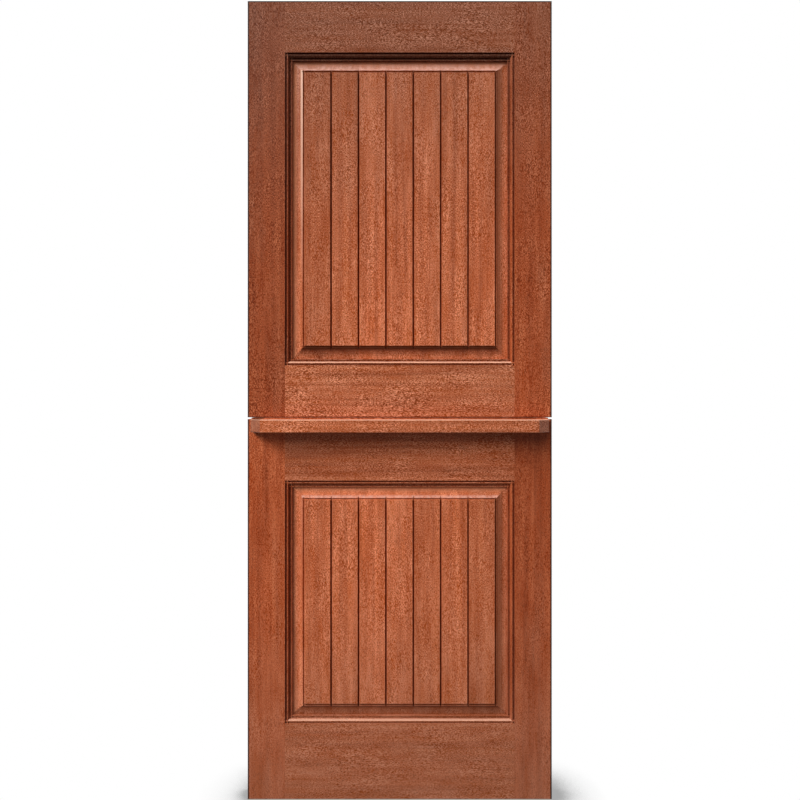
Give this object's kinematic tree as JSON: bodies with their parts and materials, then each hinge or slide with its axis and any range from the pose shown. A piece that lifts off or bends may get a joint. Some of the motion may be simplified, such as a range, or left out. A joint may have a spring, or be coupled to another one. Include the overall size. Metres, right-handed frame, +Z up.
{
  "type": "dutch stable door",
  "caption": "Dutch stable door: upper and lower leaves that swing apart or bolted together, with moulded frames, raised V-jointed panels, a shelf and lift-off hinges.",
  "frame": {"origin": "middle of the lower leaf's bottom edge", "axes": "+Z up the door, +X towards the lock edge, front facing -Y"},
  "size_m": [0.8194, 0.1217, 2.134],
  "materials": {
    "mahogany": "satin oiled",
    "brass": "satin"
  },
  "bodies": {
    "frame_side": {"lower_bottom_hinge_frame_flap": "brass", "lower_bottom_hinge_pin": "brass", "lower_top_hinge_frame_flap": "brass", "lower_top_hinge_pin": "brass", "upper_bottom_hinge_frame_flap": "brass", "upper_bottom_hinge_pin": "brass", "upper_top_hinge_frame_flap": "brass", "upper_top_hinge_pin": "brass"},
    "upper_leaf": {"bolt_plate": "brass", "upper_bottom_hinge_leaf_flap": "brass", "upper_bottom_rail": "mahogany", "upper_hinge_stile": "mahogany", "upper_lock_stile": "mahogany", "upper_plank_1": "mahogany", "upper_plank_2": "mahogany", "upper_plank_3": "mahogany", "upper_plank_4": "mahogany", "upper_plank_5": "mahogany", "upper_plank_6": "mahogany", "upper_plank_7": "mahogany", "upper_top_hinge_leaf_flap": "brass", "upper_top_rail": "mahogany"},
    "lower_leaf": {"bolt_keeper": "brass", "lower_bottom_hinge_leaf_flap": "brass", "lower_bottom_rail": "mahogany", "lower_hinge_stile": "mahogany", "lower_lock_stile": "mahogany", "lower_plank_1": "mahogany", "lower_plank_2": "mahogany", "lower_plank_3": "mahogany", "lower_plank_4": "mahogany", "lower_plank_5": "mahogany", "lower_plank_6": "mahogany", "lower_plank_7": "mahogany", "lower_top_hinge_leaf_flap": "brass", "lower_top_rail": "mahogany", "shelf": "mahogany"},
    "bolt": {"bolt_bar": "brass", "bolt_knob": "brass"}
  },
  "joints": [
    {"name": "upper_swing", "type": "hinge", "parent": "frame_side", "child": "upper_leaf", "pos_m": [-0.4069, 0.02875, 1.252], "axis": [0, 0, 1], "range_deg": [0, 175]},
    {"name": "lower_swing", "type": "hinge", "parent": "frame_side", "child": "lower_leaf", "pos_m": [-0.4069, 0.02875, 0.231], "axis": [0, 0, 1], "range_deg": [0, 175]},
    {"name": "bolt_slide", "type": "slide", "parent": "upper_leaf", "child": "bolt", "axis": [0, 0, -1], "range_m": [0, 0.03]}
  ]
}
